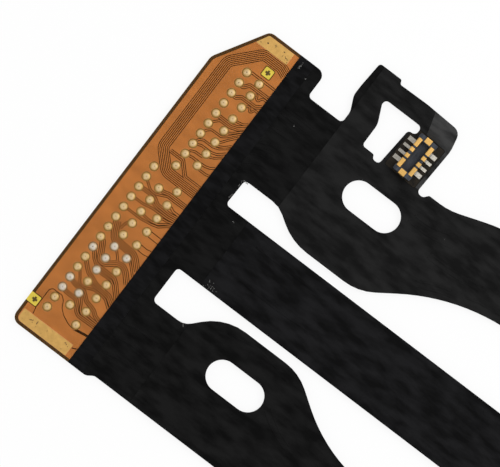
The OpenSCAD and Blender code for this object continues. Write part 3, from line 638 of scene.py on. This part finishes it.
class FLEX_OT_pads(bpy.types.Operator):
    """Dresses the probe pads"""

    bl_idname = "flex.pads"
    bl_label = "Probe pads"

    def execute(self, context):
        # the crown colours are partly painted highlight, and the flange colours partly painted shade
        dress(plated_dome_painted_light("gold_plated_pad_painted_light", "probe_pads", linear("#c6ab80"), linear("#a98548"),
                          linear("#6f4e1a")), "probe_pads")
        dress(plated_dome_painted_light("tin_plated_pad_painted_light", "probe_pads_bright", linear("#c2b8aa"), linear("#a88f6c"),
                          linear("#6a4c24")), "probe_pads_bright")
        return {"FINISHED"}


class FLEX_OT_black_films(bpy.types.Operator):
    """Dresses the black films"""

    bl_idname = "flex.black_films"
    bl_label = "Black films"

    def execute(self, context):
        looks = context.scene.flex_films
        outer, middle, cover = tuple(looks.outer_shield), tuple(looks.middle_shield), tuple(looks.cover)
        dress(black_film("matt_shield_film", outer, looks.sheen_streak, (0.5, 0.66), 0.07), "shield_upper")
        # painted shade: the lower shield is the upper's film at 0.7 of its brightness, darker than the upper
        # tail, which catches more sheen
        dress(black_film("shaded_shield_film", toned(outer, 0.7), looks.sheen_streak, (0.5, 0.66)), "shield_lower")
        dress(black_film("smooth_shield_film", middle, looks.sheen_streak, (0.46, 0.6)), "shield_middle")
        dress(black_film("black_cover_film", cover, looks.sheen_streak * 0.8, (0.44, 0.62)),
              "black_coverlay", "back_film")
        dress(black_film("navy_adhesive_band", linear("#0b0b0c"), 0.3, (0.4, 0.55)), "neck_band")
        dress(black_film("dull_grey_film", linear("#2b2b2b"), 0.5, (0.6, 0.75), 0.08), "tab_cover")
        return {"FINISHED"}


class FLEX_OT_plug(bpy.types.Operator):
    """Dresses the plug's housing, its solder and the mask under it"""

    bl_idname = "flex.plug"
    bl_label = "Plug"

    def execute(self, context):
        dress(moulded_lcp(), "plug_housing")
        dress(reflowed_solder(context.scene.flex_metals), "plug_solder")
        dress(printed_mask(), "tab_solder_mask")
        return {"FINISHED"}


class FLEX_OT_stiffeners(bpy.types.Operator):
    """Dresses the stiffeners"""

    bl_idname = "flex.stiffeners"
    bl_label = "Stiffeners"

    def execute(self, context):
        dress(rolled_steel(), "tab_stiffener")
        dress(thick_polyimide(), "end_stiffener_upper", "end_stiffener_middle", "end_stiffener_lower")
        return {"FINISHED"}


class FLEX_OT_scuffs(bpy.types.Operator):
    """Makes the scratches on the lands and the probe marks on the pads"""

    bl_idname = "flex.scuffs"
    bl_label = "Scuffs"

    def execute(self, context):
        looks = context.scene.flex_marks
        rng = random.Random(looks.seed)
        scuff = probe_scuff()
        for side, marks in (("upper", UPPER_LAND_MARKS), ("lower", LOWER_LAND_MARKS)):
            bm = bmesh.new()
            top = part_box("ground_land_" + side)[1].z
            for x, y, length, width, turn in marks:
                flake(bm, (x, y), (length, width), math.radians(turn), top, SCRATCH_THICK, rng)
            piece("land_scratches_" + side, bm, scuff)
        bm = bmesh.new()
        long = looks.probe_mark / MM
        for node in ("probe_pads", "probe_pads_bright"):
            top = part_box(node)[1].z - MARK_SINK * MM
            for x, y in island_centres(node):
                centre = (x + rng.uniform(-0.02, 0.02), y + rng.uniform(-0.02, 0.02))
                flake(bm, centre, (long * rng.uniform(0.8, 1.5), long * rng.uniform(0.3, 0.6)),
                      rng.uniform(0, math.pi), top, SCRATCH_THICK, rng)
        piece("probe_marks", bm, scuff)
        return {"FINISHED"}


class FLEX_OT_crumbs(bpy.types.Operator):
    """Makes the crumbs of dried adhesive at the black films' edges"""

    bl_idname = "flex.crumbs"
    bl_label = "Adhesive crumbs"

    def execute(self, context):
        rng = random.Random(context.scene.flex_marks.seed + 1)
        bm = bmesh.new()
        for node, x, y, spread_x, spread_y, count, size in CRUMBS:
            top = film_top(node)
            for _ in range(count):
                centre = (x + rng.gauss(0, spread_x), y + rng.gauss(0, spread_y))
                flake(bm, centre, (size * rng.uniform(0.5, 1.2), size * rng.uniform(0.3, 0.7)),
                      rng.uniform(0, math.pi), top, CRUMB_THICK, rng, 7)
        piece("adhesive_crumbs", bm, dried_adhesive())
        return {"FINISHED"}


class FLEX_OT_ridges(bpy.types.Operator):
    """Makes the low ridges that the traces raise in the black films"""

    bl_idname = "flex.ridges"
    bl_label = "Trace ridges"

    def execute(self, context):
        height = context.scene.flex_marks.ridge_height
        for node in sorted({entry[0] for entry in RIDGES}):
            bm = bmesh.new()
            top = film_top(node)
            for owner, width, corners in RIDGES:
                if owner == node:
                    ridge(bm, smoothed(corners), width, top, height)
            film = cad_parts[node].data.materials[0]
            piece("trace_ridges_on_" + node, bm, film, True)
        return {"FINISHED"}


class FLEX_OT_stage(bpy.types.Operator):
    """Makes the floor, the soft light and the camera"""

    bl_idname = "flex.stage"
    bl_label = "Stage"

    def execute(self, context):
        looks = context.scene.flex_stage
        self.floor(context)
        self.lights(context, looks)
        self.camera(context, looks)
        context.scene.view_settings.view_transform = "Standard"
        return {"FINISHED"}

    def background_rays(self, tree):
        """1 for the rays that show the white background: camera, glossy and transmission rays."""
        path = add(tree, "LightPath").outputs
        seen = add(tree, "Math", {"operation": "MAXIMUM"},
                   {0: path["Is Camera Ray"], 1: path["Is Glossy Ray"]})
        return add(tree, "Math", {"operation": "MAXIMUM"}, {0: seen, 1: path["Is Transmission Ray"]})

    def floor(self, context):
        half, z = FLOOR_HALF, CAD_LOW.z - FLOOR_GAP * MM
        mesh = bpy.data.meshes.new("floor")
        corners = [(-half, -half, z), (half, -half, z), (half, half, z), (-half, half, z)]
        mesh.from_pydata(corners, [], [(0, 1, 2, 3)])
        floor = bpy.data.objects.new("floor", mesh)
        context.scene.collection.objects.link(floor)
        # white card: the diffuse share keeps the object's soft shadow
        material, tree = blank("white_card")
        share = add(tree, "Math", {"operation": "MULTIPLY", 1: CARD_GLOW}, {0: self.background_rays(tree)})
        matt = add(tree, "BsdfDiffuse", {"Color": (CARD_WHITE, CARD_WHITE, CARD_WHITE)})
        glow = add(tree, "Emission", {"Color": (1, 1, 1), "Strength": 1.0})
        card = add(tree, "MixShader", {}, {0: share, 1: matt, 2: glow})
        add(tree, "OutputMaterial", {}, {"Surface": card})
        mesh.materials.append(material)

    def lights(self, context, looks):
        world = bpy.data.worlds.new("even_light")
        world.use_nodes = True
        tree = world.node_tree
        tree.nodes.clear()
        even = add(tree, "Background", {"Color": (1, 1, 1), "Strength": looks.fill})
        white = add(tree, "Background", {"Color": (1, 1, 1), "Strength": 1.0})
        mix = add(tree, "MixShader", {}, {0: self.background_rays(tree), 1: even, 2: white})
        add(tree, "OutputWorld", {}, {"Surface": mix})
        context.scene.world = world
        lamp = bpy.data.lights.new("key", "AREA")
        lamp.energy = looks.key_power
        lamp.size = LAMP_WIDTH
        key = bpy.data.objects.new("key", lamp)
        middle = (CAD_LOW + CAD_HIGH) / 2
        key.location = middle + Vector(LAMP_PLACE)
        key.rotation_euler = (middle - key.location).to_track_quat("-Z", "Y").to_euler()
        context.scene.collection.objects.link(key)

    def camera(self, context, looks):
        lens = bpy.data.cameras.new("camera")
        lens.lens = LENS
        lens.sensor_width = SENSOR
        far = looks.across / (lens.sensor_width * MM) * lens.lens * MM
        lens.clip_start = far * CLIP_NEAR
        lens.clip_end = far * CLIP_FAR
        camera = bpy.data.objects.new("camera", lens)
        camera.location = (VIEW_CENTRE[0] * MM, VIEW_CENTRE[1] * MM, film_top("shield_upper") + far)
        camera.rotation_euler = (0, 0, looks.turn)
        context.scene.collection.objects.link(camera)
        context.scene.camera = camera


class FLEX_PT_panel(bpy.types.Panel):
    """Lists the settings and the steps"""

    bl_idname = "FLEX_PT_panel"
    bl_label = "Flex cable"
    bl_space_type = "VIEW_3D"
    bl_region_type = "UI"
    bl_category = "Flex cable"

    def draw(self, context):
        for group in GROUPS:
            settings = getattr(context.scene, group)
            for name in GROUPS[group].__annotations__:
                self.layout.prop(settings, name)
        for operator in OPERATORS:
            self.layout.operator(operator.bl_idname)


GROUPS = {
    "flex_films": FilmLooks, "flex_metals": MetalLooks,
    "flex_marks": MarkLooks, "flex_stage": StageLooks,
}
OPERATORS = (
    FLEX_OT_stage, FLEX_OT_amber_end, FLEX_OT_gold, FLEX_OT_fiducials, FLEX_OT_pads,
    FLEX_OT_black_films, FLEX_OT_plug, FLEX_OT_stiffeners, FLEX_OT_scuffs, FLEX_OT_crumbs,
    FLEX_OT_ridges,
)


def register():
    for cls in (*GROUPS.values(), *OPERATORS, FLEX_PT_panel):
        bpy.utils.register_class(cls)
    for name, group in GROUPS.items():
        setattr(bpy.types.Scene, name, bpy.props.PointerProperty(type=group))


def unregister():
    for name in GROUPS:
        delattr(bpy.types.Scene, name)
    for cls in (FLEX_PT_panel, *reversed(OPERATORS), *reversed(GROUPS.values())):
        bpy.utils.unregister_class(cls)


def main():
    """Registers the classes and runs every step."""
    register()
    for operator in OPERATORS:
        area, name = operator.bl_idname.split(".")
        getattr(getattr(bpy.ops, area), name)()


if __name__ == "__main__":
    main()
